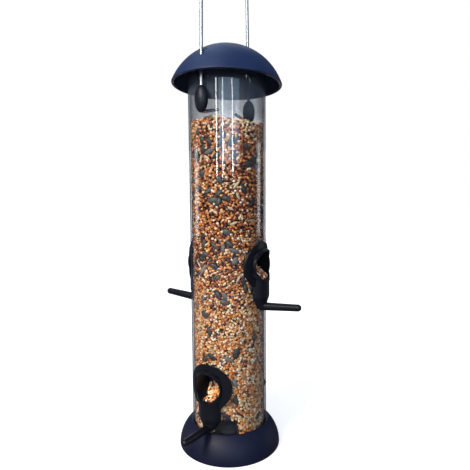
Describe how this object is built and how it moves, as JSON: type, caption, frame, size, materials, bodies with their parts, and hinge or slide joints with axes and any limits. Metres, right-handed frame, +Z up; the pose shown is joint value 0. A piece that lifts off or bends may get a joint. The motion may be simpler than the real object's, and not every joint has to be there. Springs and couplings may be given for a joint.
{
  "type": "hanging tube bird feeder",
  "caption": "Clear tube seed feeder with feeding ports, perches, a flared base and a domed lid that slides up its wire bail for filling.",
  "frame": {"origin": "centre of the foot ring's underside, at the foot of the tube's axis", "axes": "+Z up along the tube; lower ports and the two legs of the bail on -Y and +Y, upper ports on +X and -X"},
  "size_m": [0.1366, 0.1366, 0.4555],
  "materials": {
    "clear_plastic": "clear extruded polycarbonate, glossy",
    "lid_plastic": "satin moulded plastic, very dark blue",
    "base_plastic": "satin moulded plastic, very dark blue",
    "port_plastic": "satin moulded plastic, very dark blue",
    "sleeve_plastic": "satin black plastic",
    "zinc_wire": "bright zinc-plated wire",
    "screw_steel": "zinc-plated",
    "seed_mix": "dry mixed seed"
  },
  "bodies": {
    "feeder": {"feeder_tube": "clear_plastic", "base_skirt": "base_plastic", "seed_deflector": "base_plastic", "base_screws": "screw_steel", "port_front": "port_plastic", "port_back": "port_plastic", "port_right": "port_plastic", "port_left": "port_plastic", "perch_front": "port_plastic", "perch_back": "port_plastic", "perch_right": "port_plastic", "perch_left": "port_plastic", "seed_fill": "seed_mix"},
    "bail": {"wire_bail": "zinc_wire", "wire_sleeve_front": "sleeve_plastic", "wire_sleeve_back": "sleeve_plastic"},
    "lid": {"lid_dome": "lid_plastic"}
  },
  "joints": [
    {"name": "bail_swing", "type": "hinge", "parent": "feeder", "child": "bail", "pos_m": [0, 0, 0.2843], "axis": [0, 1, 0], "range_deg": [-4, 4]},
    {"name": "lid_lift", "type": "slide", "parent": "bail", "child": "lid", "axis": [0, 0, 1], "range_m": [0, 0.08]}
  ]
}
